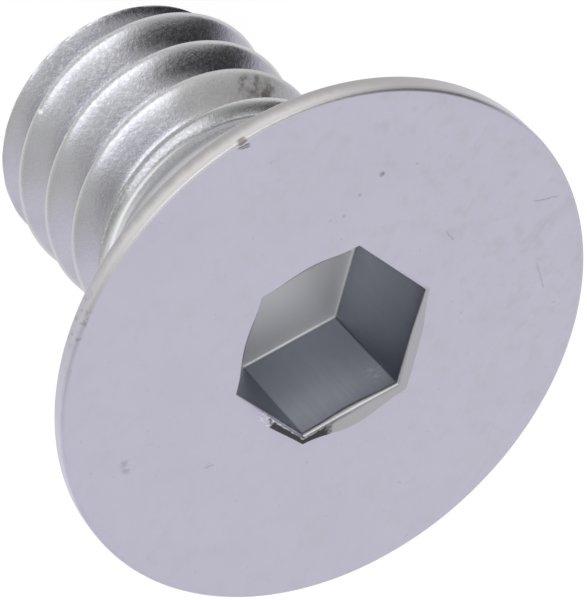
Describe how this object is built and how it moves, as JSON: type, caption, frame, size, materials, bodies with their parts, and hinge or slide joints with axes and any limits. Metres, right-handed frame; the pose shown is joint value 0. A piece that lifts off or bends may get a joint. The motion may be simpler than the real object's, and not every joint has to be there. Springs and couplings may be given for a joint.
{
  "type": "countersunk socket head bolt",
  "caption": "Short countersunk bolt with a flat round head, a hexagon socket and a coarse right-hand thread up to the head.",
  "frame": {"origin": "centre of the head, straight below it on the plane of the tip's flat end, which is what the bolt stands on", "axes": "+Z along the bolt's axis from the tip to the flat face of the head; +X and +Y are across the head"},
  "size_m": [0.0122, 0.0122, 0.0095],
  "materials": {
    "plated_steel": "zinc-plated steel: a smooth satin head face, a slightly grainy thread"
  },
  "bodies": {
    "root": {"countersunk_bolt": "plated_steel"}
  },
  "joints": []
}
